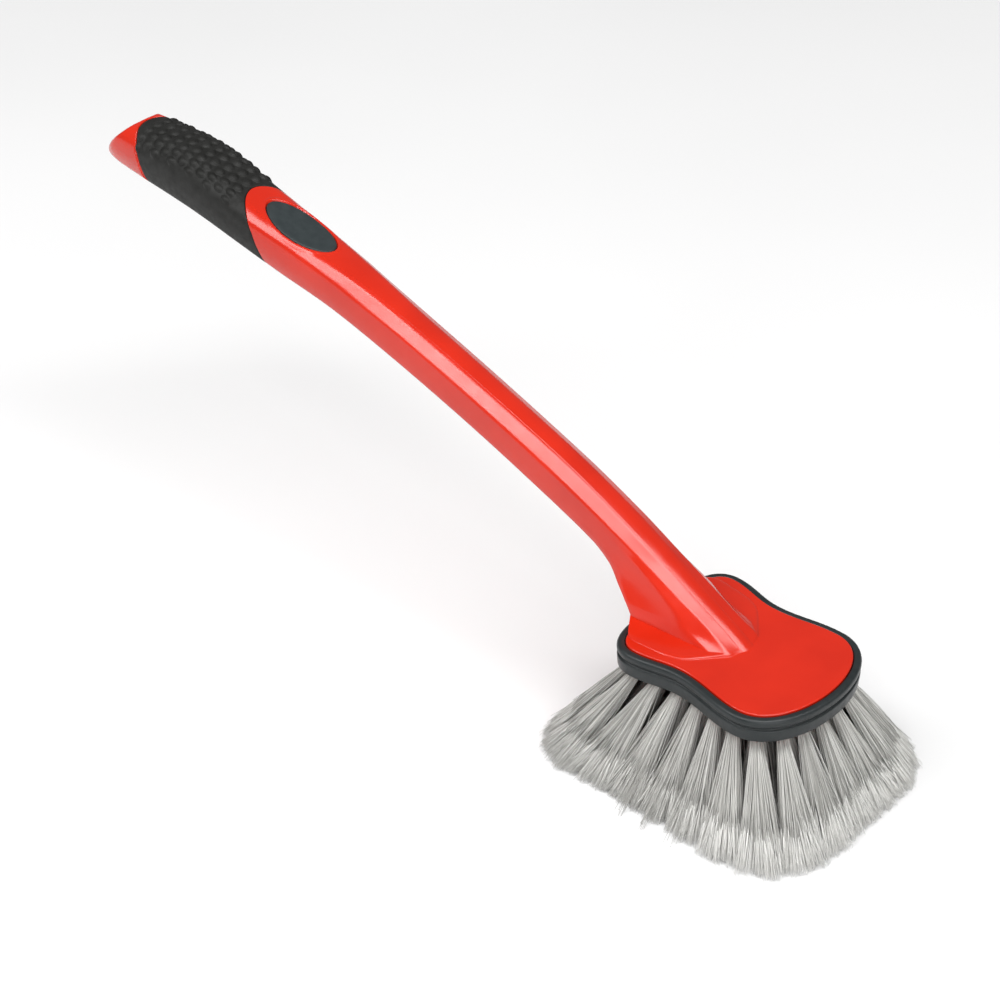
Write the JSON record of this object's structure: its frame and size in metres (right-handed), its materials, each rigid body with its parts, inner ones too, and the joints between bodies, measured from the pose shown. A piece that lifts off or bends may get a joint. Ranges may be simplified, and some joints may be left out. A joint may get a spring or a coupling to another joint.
{
  "type": "wheel brush",
  "caption": "Long-handled wheel brush: curved moulded handle, soft grip sleeve and thumb pad, waisted head with a soft bumper and flared bristle tufts trimmed flat.",
  "frame": {"origin": "middle of the flat face that the bristle tips are trimmed to, under the middle of the head", "axes": "+X towards the front of the head with the handle running back along -X, +Z from the bristle tips up to the head's flat top, +Y across the head; the brush is a mirror image of itself across the XZ plane"},
  "size_m": [0.4935, 0.131, 0.1885],
  "materials": {
    "red_plastic": "glossy moulded red polypropylene",
    "bumper_rubber": "satin overmoulded elastomer, slate on the bead",
    "grip_rubber": "matte overmoulded elastomer with small nubs",
    "pad_rubber": "matte overmoulded elastomer",
    "bristle": "grey polymer filament, flagged and paler at the tips"
  },
  "bodies": {
    "root": {"handle_and_head": "red_plastic", "head_bumper": "bumper_rubber", "grip_sleeve": "grip_rubber", "thumb_pad": "pad_rubber", "tuft_outer_01": "bristle", "tuft_outer_02": "bristle", "tuft_outer_03": "bristle", "tuft_outer_04": "bristle", "tuft_outer_05": "bristle", "tuft_outer_06": "bristle", "tuft_outer_07": "bristle", "tuft_outer_08": "bristle", "tuft_outer_09": "bristle", "tuft_outer_10": "bristle", "tuft_outer_11": "bristle", "tuft_outer_12": "bristle", "tuft_outer_13": "bristle", "tuft_outer_14": "bristle", "tuft_outer_15": "bristle", "tuft_outer_16": "bristle", "tuft_outer_17": "bristle", "tuft_outer_18": "bristle", "tuft_outer_19": "bristle", "tuft_outer_20": "bristle", "tuft_outer_21": "bristle", "tuft_outer_22": "bristle", "tuft_outer_23": "bristle", "tuft_outer_24": "bristle", "tuft_middle_01": "bristle", "tuft_middle_02": "bristle", "tuft_middle_03": "bristle", "tuft_middle_04": "bristle", "tuft_middle_05": "bristle", "tuft_middle_06": "bristle", "tuft_middle_07": "bristle", "tuft_middle_08": "bristle", "tuft_middle_09": "bristle", "tuft_middle_10": "bristle", "tuft_middle_11": "bristle", "tuft_middle_12": "bristle", "tuft_middle_13": "bristle", "tuft_middle_14": "bristle", "tuft_middle_15": "bristle", "tuft_middle_16": "bristle", "tuft_inner_01": "bristle", "tuft_inner_02": "bristle", "tuft_inner_03": "bristle", "tuft_inner_04": "bristle", "tuft_inner_05": "bristle", "tuft_inner_06": "bristle", "tuft_inner_07": "bristle", "tuft_inner_08": "bristle", "tuft_inner_09": "bristle", "tuft_inner_10": "bristle", "tuft_centre_1": "bristle", "tuft_centre_2": "bristle", "tuft_centre_3": "bristle"}
  },
  "joints": []
}
